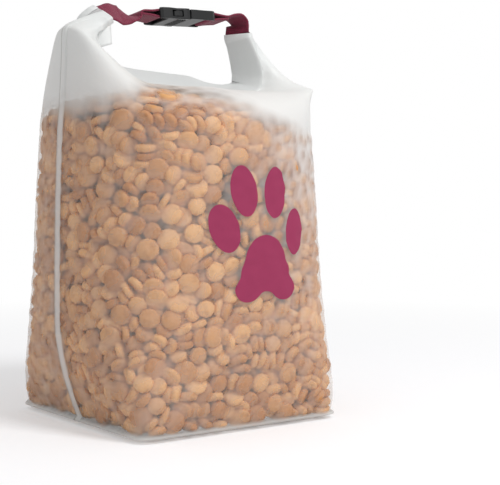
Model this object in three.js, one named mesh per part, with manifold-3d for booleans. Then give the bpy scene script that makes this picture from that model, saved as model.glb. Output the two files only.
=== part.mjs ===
// A roll-top travel bag of frosted film, full of kibble, standing on a table.
// Units are millimetres. X runs from seam to seam, -Y is the printed front and Z is up.
// The origin is on the table, under the middle of the bag.

import * as THREE from 'three';
import { mergeVertices } from 'three/addons/utils/BufferGeometryUtils.js';
import Module from 'manifold-3d';

const { Vector2, Vector3, Shape, ShapeUtils, ExtrudeGeometry, BufferGeometry } = THREE;

// The base and the belly of the filled bag, as half widths.
const BASE_X = 75, BASE_Y = 82;
const BELLY_X = 94, BELLY_Y = 92.5;
const BELLY_Z = 72;
const SHOULDER_Z = 200;
const BASE_RISE = 3;

// The film and its welds.
const WALL = 0.8;
const WELD_WIDTH = 8, WELD_RAISE = 0.6;
const LIP_WIDTH = 4, LIP_THICK = 1;

// The roll: a double layer of film wound flat around a strip.
const LAYER = 0.5, LAYER_GAP = 0.3, TURNS = 2;
const STRIP_WIDTH = 19.4, STRIP_THICK = 1.2;
const CORE_WIDTH = 20.8, CORE_THICK = 2.1;
const MOUTH_GAP = 4;
const SEAT = 0.8;
const TOUCH = 0.35;

// The webbing and the buckle.
const WEB_WIDTH = 20, WEB_THICK = 1.4;
const BAR_HALF = 1, BAR_TURN = 2.3;
const SOCKET_BAR_X = -11.3, INSERT_BAR_X = 31.8;
const BUCKLE_WIDTH = 26, BUCKLE_THICK = 7.5;
const BUCKLE_X = -7, BUCKLE_Z = 278.5, BUCKLE_TILT = -8;

// Where the roll's centre line runs over the bag, from the left ear's tip to the right one's.
const ROLL_ROUTE = [
  [-62, 281], [-67.3, 278.2], [-70.3, 271], [-70.3, 262], [-67.3, 254], [-61, 247], [-52.5, 240.2], [-41, 235.7],
  [-26, 233.7], [0, 233.5], [18, 232], [34, 229.2], [49, 228.8], [59.5, 232], [64.7, 240.5], [64.3, 251], [60.8, 261],
  [57.2, 269.5],
];
// Which way the roll's flat side runs at its two tips.
const TIP_LEFT = new Vector3(0, 0.8, 0.6);
const TIP_RIGHT = new Vector3(-0.5, 0.87, 0);

const wasm = await Module();
wasm.setup();

const smooth = (from, to, x) => {
  const t = Math.min(Math.max((x - from) / (to - from), 0), 1);
  return t * t * (3 - 2 * t);
};
const range = (count, f) => Array.from({ length: count }, (_, i) => f(i));

// Closed grids and lofts

// Joins rows of points into a solid. Every row is a closed ring with the same number of points.
// The first and last rows are closed by the faces that capOf gives for a ring.
function loft(rings, capOf) {
  const size = rings[0].length;
  const points = rings.flat();
  const faces = [];
  for (let r = 0; r + 1 < rings.length; r++) {
    for (let c = 0; c < size; c++) {
      const a = r * size + c, b = r * size + (c + 1) % size;
      faces.push([a, b, b + size], [a, b + size, a + size]);
    }
  }
  for (const [a, b, c] of capOf(size)) {
    const last = (rings.length - 1) * size;
    faces.push([c, b, a], [last + a, last + b, last + c]);
  }
  return solidGeometry(points, faces);
}

// Makes the geometry from points and faces, and turns it if its faces point inwards.
function solidGeometry(points, faces) {
  let volume = 0;
  for (const [a, b, c] of faces) volume += points[a].dot(points[b].clone().cross(points[c]));
  const turned = volume < 0 ? faces.map(([a, b, c]) => [a, c, b]) : faces;
  const geometry = new BufferGeometry().setFromPoints(points);
  geometry.setIndex(turned.flat());
  geometry.computeVertexNormals();
  return geometry;
}

const fan = (size) => range(size - 2, (i) => [0, i + 1, i + 2]);

// The film bag

// Half widths and squareness of the filled bag at height z.
function bellyAt(z) {
  const rise = 1 - Math.pow(1 - Math.min(Math.max(z / BELLY_Z, 0), 1), 1.7);
  const lean = Math.max(z - BELLY_Z, 0) / 150;
  return {
    x: BASE_X + (BELLY_X - BASE_X) * rise - 4.5 * lean * lean,
    y: BASE_Y + (BELLY_Y - BASE_Y) * rise - 3 * lean * lean,
    power: 2.05 + 27 * Math.exp(-z / 14) + 1.45 * Math.exp(-z / 120),
  };
}

// A point on half of a rounded rectangle, at the share s of its length from the left seam, -1, to the right, 1.
function onOutline({ x, y, power }, s) {
  const steps = 180;
  const half = range(steps + 1, (i) => {
    const c = -Math.cos(Math.PI * i / steps), d = Math.sin(Math.PI * i / steps);
    return new Vector2(x * Math.sign(c) * Math.abs(c) ** (2 / power), y * Math.abs(d) ** (2 / power));
  });
  const along = [0];
  for (let i = 1; i <= steps; i++) along.push(along[i - 1] + half[i].distanceTo(half[i - 1]));
  const wanted = (s + 1) / 2 * along[steps];
  let i = 1;
  while (i < steps && along[i] < wanted) i++;
  const part = (wanted - along[i - 1]) / (along[i] - along[i - 1]);
  return half[i - 1].clone().lerp(half[i], part);
}

const rollCurve = new THREE.CatmullRomCurve3(
  ROLL_ROUTE.map(([x, z]) => new Vector3(x, 0, z)), false, 'centripetal');

// The roll's centre, its direction, its flat side's direction and its upper side's direction.
function rollFrame(s) {
  const t = (s + 1) / 2;
  const centre = rollCurve.getPointAt(t);
  const ahead = rollCurve.getTangentAt(t);
  const turn = smooth(0.55, 1, Math.abs(s));
  const wide = new Vector3(0, 1, 0).lerp(s < 0 ? TIP_LEFT : TIP_RIGHT, turn);
  wide.addScaledVector(ahead, -wide.dot(ahead)).normalize();
  return { centre, ahead, wide, up: ahead.clone().cross(wide) };
}

// The film's upper end: a narrow slot under the roll, from one ear's tip to the other's.
function mouthPoint(s, side) {
  const { centre, wide } = rollFrame(s);
  const half = MOUTH_GAP / 2 * Math.sqrt(Math.max(0, 1 - Math.abs(s) ** 8));
  return centre.addScaledVector(wide, side * half);
}

// The ring that draws the film over from the shoulder to the mouth. Its ears stand higher,
// and it dips with the roll right of the middle.
const KNEE_Z = 233, KNEE_DIP = 4.6;
const LEFT_EAR = { x: 92, y: 36, rise: 42, reach: 72 };
const RIGHT_EAR = { x: 91, y: 50, rise: 33, reach: 24 };
function kneePoint(s, side) {
  const ear = s < 0 ? LEFT_EAR : RIGHT_EAR;
  const share = smooth(0.35, 0.95, Math.abs(s));
  const p = onOutline({ x: ear.x, y: ear.y, power: 2.6 }, s);
  const dip = KNEE_DIP * smooth(-0.05, 0.15, s);
  return {
    knee: new Vector3(p.x, side * p.y, KNEE_Z - dip + ear.rise * share),
    reach: 26 + (ear.reach - 26) * share,
  };
}

// The dog ear at each front and back shoulder of the right side, where the film folds to a point.
function dogEar(s, share) {
  if (s < 0) return 0;
  return 7 * Math.exp(-(((s - 0.74) / 0.13) ** 2)) * Math.exp(-(((share - 0.36) / 0.13) ** 2));
}

// A point of the film's outer face without its welds, in one of FILM_ROWS.
function filmPoint(s, side, row) {
  if (row.scale !== undefined) {
    const p = onOutline(bellyAt(row.z), s);
    return new Vector3(p.x * row.scale, side * p.y * row.scale, row.z);
  }
  const p = onOutline(bellyAt(SHOULDER_Z), s);
  const start = new Vector3(p.x, side * p.y, SHOULDER_Z);
  const { knee, reach } = kneePoint(s, side);
  const handle = start.clone().setZ(SHOULDER_Z + reach);
  const point = new THREE.CubicBezierCurve3(start, handle, knee, mouthPoint(s, side)).getPoint(row.share);
  const out = new Vector3(p.x, side * p.y * 0.5, 45).normalize();
  return point.addScaledVector(out, dogEar(s, row.share));
}

const BODY_HEIGHTS = [10, 20, 34, 52, 74, 105, 140, 172, SHOULDER_Z];
const FILM_ROWS = [
  { z: 0, scale: 0.35 }, { z: 0, scale: 0.72 }, { z: 1.1, scale: 0.93 },
  { z: BASE_RISE, scale: 1 }, { z: BASE_RISE + LIP_THICK, scale: 1 },
  ...BODY_HEIGHTS.map((z) => ({ z, scale: 1 })),
  ...range(9, (i) => ({ share: (i + 1) / 9 })),
];
const LIP_ROWS = [3, 4];

// The share of the film's half girth that the side weld covers.
const WELD_SHARE = 2 * WELD_WIDTH / 305;
// Columns are closest where the base has its corners.
const RIGHT_COLUMNS = [0.09, 0.18, 0.27, 0.35, 0.42, 0.46, 0.48, 0.5, 0.54, 0.61, 0.7, 0.79, 0.88];
const BODY_COLUMNS = [...RIGHT_COLUMNS.map((s) => -s).reverse(), 0, ...RIGHT_COLUMNS];
const FRONT_COLUMNS = [
  -1, -1 + WELD_SHARE, -1 + WELD_SHARE + 0.006,
  ...BODY_COLUMNS,
  1 - WELD_SHARE - 0.006, 1 - WELD_SHARE,
];
const BACK_COLUMNS = [1, 0.95, ...[...BODY_COLUMNS].reverse(), -0.95];
const COLUMNS = [
  ...FRONT_COLUMNS.map((s) => ({ s, side: -1 })),
  ...BACK_COLUMNS.map((s) => ({ s, side: 1 })),
];

// The film's grid of points, moved inwards by a distance.
function filmGrid(inset) {
  const grid = FILM_ROWS.map((row) => COLUMNS.map(({ s, side }) => filmPoint(s, side, row)));
  return grid.map((ring, r) => ring.map((point, c) => {
    const count = ring.length;
    const below = grid[Math.max(r - 1, 0)][c], above = grid[Math.min(r + 1, grid.length - 1)][c];
    const across = ring[(c + 1) % count].clone().sub(ring[(c + count - 1) % count]);
    const out = across.cross(above.clone().sub(below)).normalize();
    return { point, out, moved: point.clone().addScaledVector(out, -inset) };
  }));
}

// The outer face carries the side welds and the base welds' lips.
function outerPoint({ point, out }, r, c) {
  const { s, side } = COLUMNS[c];
  const p = point.clone();
  if (side < 0 && r > LIP_ROWS[1] && Math.abs(s) > 1 - WELD_SHARE - 0.001) {
    p.addScaledVector(out, WELD_RAISE);
  }
  if (LIP_ROWS.includes(r)) {
    p.x += Math.sign(s) * LIP_WIDTH * smooth(0.43, 0.5, Math.abs(s));
  }
  return p;
}

function bagFilm() {
  const grid = filmGrid(WALL);
  const outer = grid.map((ring, r) => ring.map((cell, c) => outerPoint(cell, r, c)));
  const inner = grid.map((ring) => ring.map((cell) => cell.moved));
  inner[0].forEach((p) => { p.z = WALL; });
  inner[1].forEach((p) => { p.z = WALL; });
  const rings = [...outer, ...inner.reverse()];
  return loft(rings, fan);
}

// The kibble

// The filled shape follows the film's inner face up to the shoulder and closes in a low dome.
const FILL_GAP = 0.9, DOME_HEIGHT = 26;
function kibbleFill() {
  const lowest = WALL + FILL_GAP;
  const film = filmGrid(lowest).slice(0, LIP_ROWS[1] + 1 + BODY_HEIGHTS.length);
  const walls = film.map((ring) => ring.map(({ moved }) => moved.clone().setZ(Math.max(moved.z, lowest))));
  const top = walls[walls.length - 1];
  const dome = range(7, (i) => {
    const angle = (i + 1) * Math.PI / 15;
    const shrink = Math.cos(angle) ** 0.5;
    return top.map((p) => new Vector3(p.x * shrink, p.y * shrink, SHOULDER_Z + DOME_HEIGHT * Math.sin(angle)));
  });
  return loft([...walls, ...dome].reverse(), fan);
}

// The roll, its strip and the webbing

// One winding of the flat spiral: where the middle of the layer lies after an angle.
function windingPoint(angle) {
  const pitch = (LAYER + LAYER_GAP) * angle / (2 * Math.PI);
  const radius = CORE_THICK / 2 + LAYER / 2 + pitch;
  const flat = CORE_WIDTH / 2 - CORE_THICK / 2;
  const c = Math.cos(angle), d = Math.sin(angle);
  const slide = Math.min(Math.max(1.35 * c, -1), 1);
  return new Vector2(flat * slide + radius * c, radius * Math.sign(d) * Math.abs(d) ** 0.45);
}

// The roll's section: a band of one double layer that follows the winding.
function rollSection() {
  const steps = 40;
  const middle = range(steps + 1, (i) => windingPoint(Math.PI / 2 + i / steps * TURNS * 2 * Math.PI));
  const sides = middle.map((p, i) => {
    const along = middle[Math.min(i + 1, steps)].clone().sub(middle[Math.max(i - 1, 0)]).normalize();
    return new Vector2(-along.y, along.x).multiplyScalar(LAYER / 2);
  });
  return [
    ...middle.map((p, i) => p.clone().sub(sides[i])),
    ...middle.map((p, i) => p.clone().add(sides[i])).reverse(),
  ];
}

const rollHalfThick = CORE_THICK / 2 + LAYER + (LAYER + LAYER_GAP) * TURNS;
const rollLift = rollHalfThick + SEAT;

// Sweeps a flat section along frames of centre, wide and up.
function sweep(section, frames, capOf) {
  const rings = frames.map(({ centre, wide, up }) => section.map((p) => (
    centre.clone().addScaledVector(wide, p.x).addScaledVector(up, p.y))));
  return loft(rings, capOf);
}

const capBySection = (section) => () => ShapeUtils.triangulateShape(section, []);

// Frames of the roll's own middle at some of its steps, which run from 0 at the left tip.
const ROLL_STEPS = 26;
function rollFrames(steps) {
  return steps.map((step) => {
    const frame = rollFrame(-1 + 2 * step / ROLL_STEPS);
    frame.centre.addScaledVector(frame.up, rollLift);
    return frame;
  });
}

function rolledMouth() {
  const section = rollSection();
  return sweep(section, rollFrames(range(ROLL_STEPS + 1, (i) => i)), capBySection(section));
}

const flatSection = (width, thick) => [
  new Vector2(-width / 2, -thick / 2), new Vector2(width / 2, -thick / 2),
  new Vector2(width / 2, thick / 2), new Vector2(-width / 2, thick / 2),
];

// The webbing reaches two steps into each end of the roll, and the strip lies between.
const WEB_TUCK = 2;
function mouthStrip() {
  const end = WEB_TUCK + TOUCH * ROLL_STEPS / rollCurve.getLength();
  const inner = range(ROLL_STEPS - 2 * WEB_TUCK - 1, (i) => WEB_TUCK + 1 + i);
  const section = flatSection(STRIP_WIDTH, STRIP_THICK);
  return sweep(section, rollFrames([end, ...inner, ROLL_STEPS - end]), fan);
}

const radians = (degrees) => degrees * Math.PI / 180;

// Webbing along a route of points [x, y, z, tilt of its flat side from level in degrees].
function webbing(start, route) {
  const frames = [...start];
  const first = start[start.length - 1];
  const points = [first.centre, ...route.map(([x, y, z]) => new Vector3(x, y, z))];
  const curve = new THREE.CatmullRomCurve3(points, false, 'centripetal');
  const wides = [first.wide, ...route.map(([, , , tilt]) => (
    new Vector3(0, Math.cos(radians(tilt)), Math.sin(radians(tilt)))))];
  const perSpan = 3;
  for (let i = 1; i <= route.length * perSpan; i++) {
    const t = i / (route.length * perSpan);
    const span = Math.min(Math.floor(t * route.length), route.length - 1);
    const centre = curve.getPoint(t), ahead = curve.getTangent(t);
    const wide = wides[span].clone().lerp(wides[span + 1], t * route.length - span);
    wide.addScaledVector(ahead, -wide.dot(ahead)).normalize();
    frames.push({ centre, wide, up: ahead.clone().cross(wide) });
  }
  return sweep(flatSection(WEB_WIDTH, WEB_THICK), frames, fan);
}

// The webbing goes over a buckle's bar, around it and back under itself, where it is sewn down.
// heading is 1 where it comes from the left and -1 where it comes from the right.
function barTurn(barX, heading) {
  const laid = (WEB_THICK + LAYER_GAP) / 2;
  const over = [[-14, laid], [-6, laid + 0.7]];
  const around = range(7, (i) => [
    BAR_TURN * Math.sin(Math.PI * i / 6), BAR_TURN * Math.cos(Math.PI * i / 6)]);
  const under = [[-6, -laid - 0.7], [-14, -laid]];
  const tilt = radians(BUCKLE_TILT);
  return [...over, ...around, ...under].map(([x, lift]) => [
    BUCKLE_X + barX + heading * x, -lift * Math.sin(tilt), BUCKLE_Z + lift * Math.cos(tilt), BUCKLE_TILT]);
}

// The tip's frame moved on out of the roll, so that the webbing leaves it straight.
const LEAVE = 3;
function leaving(frame, heading) {
  return { ...frame, centre: frame.centre.clone().addScaledVector(frame.ahead, heading * LEAVE) };
}

// The left strap stands on edge as it leaves the ear and lies down again before the socket.
function strapLeft() {
  const tucked = rollFrames([WEB_TUCK, 1, 0]).map((frame) => (
    { ...frame, up: frame.up.clone().negate() }));
  tucked.push(leaving(tucked[WEB_TUCK], -1));
  const free = [[-53, -1.5, 281.5, 60], [-46.5, -1, 280.5, 72], [-40.5, -0.5, 279, 20]];
  return webbing(tucked, [...free, ...barTurn(SOCKET_BAR_X, 1)]);
}

function strapRight() {
  const tucked = rollFrames([ROLL_STEPS - WEB_TUCK, ROLL_STEPS - 1, ROLL_STEPS]);
  tucked.push(leaving(tucked[WEB_TUCK], 1));
  const free = [[55.5, 0, 276.5, -8], [51, 0, 281, -8], [45, 0, 281, -8]];
  return webbing(tucked, [...free, ...barTurn(INSERT_BAR_X, -1)]);
}

// The buckle

function toSolid(geometry) {
  const bare = geometry.index ? geometry.toNonIndexed() : geometry.clone();
  bare.deleteAttribute('normal');
  bare.deleteAttribute('uv');
  const merged = mergeVertices(bare, 1e-4);
  return new wasm.Manifold(new wasm.Mesh({
    numProp: 3,
    vertProperties: merged.getAttribute('position').array,
    triVerts: new Uint32Array(merged.index.array),
  }));
}

function toGeometry(solid) {
  const mesh = solid.getMesh();
  const geometry = new BufferGeometry();
  geometry.setAttribute('position', new THREE.BufferAttribute(new Float32Array(mesh.vertProperties), 3));
  geometry.setIndex(new THREE.BufferAttribute(new Uint32Array(mesh.triVerts), 1));
  geometry.computeVertexNormals();
  return geometry;
}

// A plate of a plan outline, centred on z = 0, with rounded edges where bevel is given.
function plate(shape, thick, bevel = 0) {
  const geometry = new ExtrudeGeometry(shape, {
    depth: thick - 2 * bevel, curveSegments: 6, bevelEnabled: bevel > 0,
    bevelThickness: bevel, bevelSize: bevel, bevelOffset: -bevel, bevelSegments: 2,
  });
  return geometry.translate(0, 0, bevel - thick / 2);
}

const mirrored = (points) => [...points, ...points.map(([x, y]) => [x, -y]).reverse()];
const outline = (points) => new Shape(points.map(([x, y]) => new Vector2(x, y)));

// A block from low to high corners.
function block([x0, y0, z0], [x1, y1, z1]) {
  return new THREE.BoxGeometry(x1 - x0, y1 - y0, z1 - z0).translate((x0 + x1) / 2, (y0 + y1) / 2, (z0 + z1) / 2);
}

const SLOT_HALF = WEB_WIDTH / 2 + 0.5;
const TONGUE_THICK = 3.6, CAVITY_HALF_Y = 10.6;
const WINDOW = [-3, 6];

// The socket: a flat sleeve, open to the right, with a window in each side wall and a bar for the webbing.
function buckleSocket() {
  const half = BUCKLE_WIDTH / 2;
  const left = SOCKET_BAR_X - BAR_HALF - 0.4, right = 11.6;
  const body = outline(mirrored([
    [left, half - 4], [left + 0.6, half - 1.6], [left + 2.4, half - 0.5], [-5, half],
    [WINDOW[0], half - 0.4], [(WINDOW[0] + WINDOW[1]) / 2, half - 1], [WINDOW[1], half - 0.4],
    [8.6, half], [right - 0.5, half - 0.3], [right, half - 1.2],
  ]).reverse());
  const slotRight = -5.4;
  body.holes.push(outline([
    [SOCKET_BAR_X + BAR_HALF, -SLOT_HALF], [slotRight, -SLOT_HALF],
    [slotRight, SLOT_HALF], [SOCKET_BAR_X + BAR_HALF, SLOT_HALF],
  ].reverse()));
  let solid = toSolid(plate(body, BUCKLE_THICK, 0.5));
  const thinBar = BUCKLE_THICK / 2 + 1;
  for (const turn of [-1, 1]) {
    const low = turn < 0 ? -thinBar : BAR_HALF;
    solid = solid.subtract(toSolid(block(
      [left - 1, -SLOT_HALF, low], [SOCKET_BAR_X + BAR_HALF + 0.5, SLOT_HALF, low + thinBar - BAR_HALF])));
  }
  const cavityHalf = TONGUE_THICK / 2 + 0.4;
  solid = solid.subtract(toSolid(block(
    [-4, -CAVITY_HALF_Y, -cavityHalf], [right + 1, CAVITY_HALF_Y, cavityHalf])));
  solid = solid.subtract(toSolid(block(
    [WINDOW[0], -half - 1, -cavityHalf], [WINDOW[1], half + 1, cavityHalf])));
  for (let i = 0; i < 4; i++) {
    const rib = new THREE.CylinderGeometry(0.55, 0.55, 17, 8, 1);
    for (const face of [-1, 1]) {
      const placed = rib.clone().translate(3.6 + 1.9 * i, 0, face * (BUCKLE_THICK / 2 - 0.1));
      solid = solid.add(toSolid(placed));
    }
  }
  return toGeometry(solid);
}

// The insert: a bar for the webbing, a shoulder block, a middle guide and two springy arms with barbed heads.
function buckleInsert() {
  const half = BUCKLE_WIDTH / 2;
  const left = 12, right = INSERT_BAR_X + BAR_HALF + 0.4;
  const shoulder = outline(mirrored([
    [left, half - 1.2], [left + 0.6, half - 0.3], [left + 4, half - 0.2],
    [24, half - 0.8], [right - 2.4, half - 0.8], [right - 0.5, half - 1.8], [right, half - 4],
  ].reverse()));
  const slotLeft = 24.6;
  shoulder.holes.push(outline([
    [slotLeft, -SLOT_HALF], [INSERT_BAR_X - BAR_HALF, -SLOT_HALF],
    [INSERT_BAR_X - BAR_HALF, SLOT_HALF], [slotLeft, SLOT_HALF],
  ].reverse()));
  let solid = toSolid(plate(shoulder, BUCKLE_THICK - 0.8, 0.5));
  const thinBar = BUCKLE_THICK / 2 + 1;
  for (const turn of [-1, 1]) {
    const low = turn < 0 ? -thinBar : BAR_HALF;
    solid = solid.subtract(toSolid(block(
      [INSERT_BAR_X - BAR_HALF - 0.5, -SLOT_HALF, low], [right + 1, SLOT_HALF, low + thinBar - BAR_HALF])));
  }
  const arm = [
    [left + 1, 10.1], [6.4, 9.9], [5.6, 10.3], [5.3, 12.2], [2.5, 12.4], [-0.6, 11.4], [-2.5, 9.4], [-2.2, 7.9],
    [0.5, 7.4], [4.5, 7.9], [8, 7.9], [left + 1, 7.4],
  ];
  for (const side of [-1, 1]) {
    const points = arm.map(([x, y]) => [x, side * y]);
    solid = solid.add(toSolid(plate(outline(side > 0 ? points.reverse() : points), TONGUE_THICK, 0.2)));
  }
  const guide = outline([[left + 1, -2], [0.5, -1.6], [-1.6, -0.8], [-1.6, 0.8], [0.5, 1.6], [left + 1, 2]].reverse());
  solid = solid.add(toSolid(plate(guide, TONGUE_THICK, 0.2)));
  return toGeometry(solid);
}

// The assembly

function piece(name, geometry, color, roughness, metalness = 0) {
  const material = new THREE.MeshStandardMaterial({ color, roughness, metalness });
  const mesh = new THREE.Mesh(geometry, material);
  mesh.name = name;
  return mesh;
}

const FROSTED = 0xe3e4e2, WINE = 0x8f2148, BLACK = 0x1b1c1f;

const bag = new THREE.Group();
bag.add(piece('bag_film', bagFilm(), FROSTED, 0.45));
bag.add(piece('rolled_mouth', rolledMouth(), FROSTED, 0.4));
bag.add(piece('mouth_strip', mouthStrip(), 0xc9ced4, 0.5));
bag.add(piece('kibble_fill', kibbleFill(), 0xb9793f, 0.9));
bag.add(piece('strap_left', strapLeft(), WINE, 0.85));
bag.add(piece('strap_right', strapRight(), WINE, 0.85));

const buckle = new THREE.Group();
buckle.position.set(BUCKLE_X, 0, BUCKLE_Z);
buckle.rotation.x = radians(BUCKLE_TILT);
buckle.add(piece('buckle_socket', buckleSocket(), BLACK, 0.4));
buckle.add(piece('buckle_insert', buckleInsert(), BLACK, 0.4));
bag.add(buckle);

export default bag;
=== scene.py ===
"""A roll-top travel bag of frosted film, full of kibble, standing on a white table."""

import math

import bmesh
import bpy
import numpy as np
from mathutils import Matrix, Vector
from mathutils.kdtree import KDTree


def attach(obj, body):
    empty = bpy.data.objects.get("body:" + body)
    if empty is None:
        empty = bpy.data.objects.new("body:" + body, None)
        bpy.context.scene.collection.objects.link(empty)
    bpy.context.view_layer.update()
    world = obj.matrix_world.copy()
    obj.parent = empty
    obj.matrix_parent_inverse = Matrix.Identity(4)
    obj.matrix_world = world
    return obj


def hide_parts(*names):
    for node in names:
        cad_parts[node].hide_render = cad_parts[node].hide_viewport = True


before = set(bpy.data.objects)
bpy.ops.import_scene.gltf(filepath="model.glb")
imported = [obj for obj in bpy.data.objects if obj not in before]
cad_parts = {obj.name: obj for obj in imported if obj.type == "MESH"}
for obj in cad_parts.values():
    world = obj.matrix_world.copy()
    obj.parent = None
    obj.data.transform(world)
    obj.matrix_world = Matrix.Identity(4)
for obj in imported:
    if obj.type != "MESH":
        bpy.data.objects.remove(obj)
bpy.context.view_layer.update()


# Camera and studio
# The photograph looks at the bag from its front left, a little from above, with a long lens.
# The studio is a white table and a white room, with one soft lamp high up in front of the bag.

CAMERA_PLACE = (-0.5368, -0.8277, 0.190)
LOOKS_DOWN, LOOKS_RIGHT = 4, 36
camera_data = bpy.data.cameras.new("camera")
camera_data.sensor_fit = "HORIZONTAL"
camera_data.sensor_width = 36
camera_data.lens = 100.8
camera_data.clip_start = 0.01
camera = bpy.data.objects.new("camera", camera_data)
camera.location = CAMERA_PLACE
camera.rotation_euler = (math.radians(90 - LOOKS_DOWN), 0, math.radians(-LOOKS_RIGHT))
bpy.context.collection.objects.link(camera)
bpy.context.scene.camera = camera
bpy.context.scene.view_settings.view_transform = "Standard"


def linear(hex_colour):
    """An sRGB hex colour as linear red, green and blue, with 1 for its alpha."""
    parts = [(hex_colour >> shift & 255) / 255 for shift in (16, 8, 0)]
    return (*[p / 12.92 if p <= 0.04045 else ((p + 0.055) / 1.055) ** 2.4 for p in parts], 1)


def add(tree, kind, inputs=None, **settings):
    """Adds a node with its settings. An input is a value, or another node's output to link."""
    node = tree.nodes.new(kind)
    for name, value in settings.items():
        setattr(node, name, value)
    for name, value in (inputs or {}).items():
        if isinstance(value, bpy.types.NodeSocket):
            tree.links.new(value, node.inputs[name])
        else:
            node.inputs[name].default_value = value
    return node


def new_material(name):
    """An empty node material and its tree."""
    material = bpy.data.materials.new(name)
    material.use_nodes = True
    material.node_tree.nodes.clear()
    return material, material.node_tree


def seen_directly(tree):
    """1 for what the camera sees, also by a mirror or through clear film, and 0 for other light."""
    path = add(tree, "ShaderNodeLightPath")
    clear = add(tree, "ShaderNodeMath", {
        0: path.outputs["Is Transmission Ray"], 1: path.outputs["Is Diffuse Ray"]}, operation="SUBTRACT")
    gloss = add(tree, "ShaderNodeMath", {
        0: path.outputs["Is Glossy Ray"], 1: clear.outputs[0]}, operation="MAXIMUM")
    direct = add(tree, "ShaderNodeMath", {
        0: path.outputs["Is Camera Ray"], 1: gloss.outputs[0]}, operation="MAXIMUM")
    return direct.outputs[0]


ROOM_LIGHT = 0.58
world = bpy.data.worlds.new("room")
world.use_nodes = True
bpy.context.scene.world = world
world.node_tree.nodes.clear()
strength = add(world.node_tree, "ShaderNodeMapRange",
               {"Value": seen_directly(world.node_tree), "To Min": ROOM_LIGHT, "To Max": 1.0})
background = add(world.node_tree, "ShaderNodeBackground",
                 {"Color": linear(0xFFFFFF), "Strength": strength.outputs["Result"]})
add(world.node_tree, "ShaderNodeOutputWorld", {"Surface": background.outputs[0]})

FLOOR_HALF = 6.0
floor_mesh = bmesh.new()
bmesh.ops.create_grid(floor_mesh, x_segments=1, y_segments=1, size=FLOOR_HALF)
floor_data = bpy.data.meshes.new("floor")
floor_mesh.to_mesh(floor_data)
floor_mesh.free()
floor = bpy.data.objects.new("floor", floor_data)
bpy.context.collection.objects.link(floor)

# White table: a matt sheet. It keeps the bag's shadow nearby, and turns pure white further away.
TABLE_LIFT = 0.3
FADE_START, FADE_END = 0.3, 0.75
table_paper, tree = new_material("white_table")
place = add(tree, "ShaderNodeTexCoord").outputs["Object"]
away = add(tree, "ShaderNodeVectorMath", {0: place}, operation="LENGTH").outputs["Value"]
direct = seen_directly(tree)
paper = add(tree, "ShaderNodeBsdfDiffuse", {"Color": linear(0xE2E2E4)})
lift = add(tree, "ShaderNodeMath", {0: direct, 1: TABLE_LIFT}, operation="MULTIPLY")
glow = add(tree, "ShaderNodeEmission", {"Color": linear(0xFFFFFF), "Strength": lift.outputs[0]})
near = add(tree, "ShaderNodeAddShader", {0: paper.outputs[0], 1: glow.outputs[0]})
white = add(tree, "ShaderNodeEmission", {"Color": linear(0xFFFFFF), "Strength": 1})
fade = add(tree, "ShaderNodeMapRange", {"Value": away, "From Min": FADE_START, "From Max": FADE_END})
far = add(tree, "ShaderNodeMath", {0: fade.outputs["Result"], 1: direct}, operation="MULTIPLY")
table = add(tree, "ShaderNodeMixShader", {"Fac": far.outputs[0], 1: near.outputs[0], 2: white.outputs[0]})
add(tree, "ShaderNodeOutputMaterial", {"Surface": table.outputs[0]})
floor_data.materials.append(table_paper)


def add_lamp(name, place, aim, size, power):
    """A square soft lamp that faces a point."""
    data = bpy.data.lights.new(name, "AREA")
    data.shape = "SQUARE"
    data.size = size
    data.energy = power
    lamp = bpy.data.objects.new(name, data)
    lamp.location = place
    lamp.rotation_euler = (Vector(aim) - Vector(place)).to_track_quat("-Z", "Y").to_euler()
    bpy.context.collection.objects.link(lamp)


add_lamp("lamp_front", (0.25, -1.0, 1.3), (0, 0, 0.12), 0.45, 12)


# Kibble
# Round discs of baked dog food, 12 to 16 mm across and 4 to 5 mm thick, poured loose.
# They settle against the film in all directions, some flat and some on edge, over darker ones.

# Half widths of the filled bag, and heights, in millimetres. It is squarest at the base.
BASE_X, BASE_Y = 75, 82
BELLY_X, BELLY_Y, BELLY_Z = 94, 92.5, 72
SHOULDER_Z = 200
BELLY_CURVE = 1.7
NARROW_X, NARROW_Y, NARROW_OVER = 4.5, 3, 150
ROUND_POWER = 2.05
BASE_POWER, BASE_POWER_OVER = 27, 14
BODY_POWER, BODY_POWER_OVER = 1.45, 120
FILM_WALL = 0.8
KIBBLE_CLEAR, BASE_CLEAR = 0.4, 2.6
# The heap's top: a dome that falls to the right, with a hump at the front's left.
DOME_HEIGHT, DOME_POWER = 26, 4
SLOPE, SLOPE_START_X = 0.09, -45
HUMP_HIGH, HUMP_X, HUMP_Y, HUMP_SPREAD = 7, -58, -48, 17
DISC_RADIUS, DISC_HALF_THICK = 6.9, 2.6
DISC_COUNT = 2800
SIDE_SHARE, TOP_SHARE = 0.72, 0.15
BED_DEPTH, BED_START = 19, 3
SETTLE_ROUNDS = 70
# How strongly one round acts: the film's push, the turn where discs meet, the drift towards the film
# and the turn that lays a disc flat against it.
WALL_PUSH, TURN_SHARE, DRIFT = 1.6, 0.5, 0.35
LEAN_OUT = 0.06


def belly_at(z):
    """Half widths and squareness of the filled bag at height z, in millimetres."""
    rise = 1 - (1 - np.clip(z / BELLY_Z, 0, 1)) ** BELLY_CURVE
    lean = np.maximum(z - BELLY_Z, 0) / NARROW_OVER
    half_x = BASE_X + (BELLY_X - BASE_X) * rise - NARROW_X * lean ** 2
    half_y = BASE_Y + (BELLY_Y - BASE_Y) * rise - NARROW_Y * lean ** 2
    corners = BASE_POWER * np.exp(-z / BASE_POWER_OVER)
    return half_x, half_y, ROUND_POWER + corners + BODY_POWER * np.exp(-z / BODY_POWER_OVER)


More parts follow.
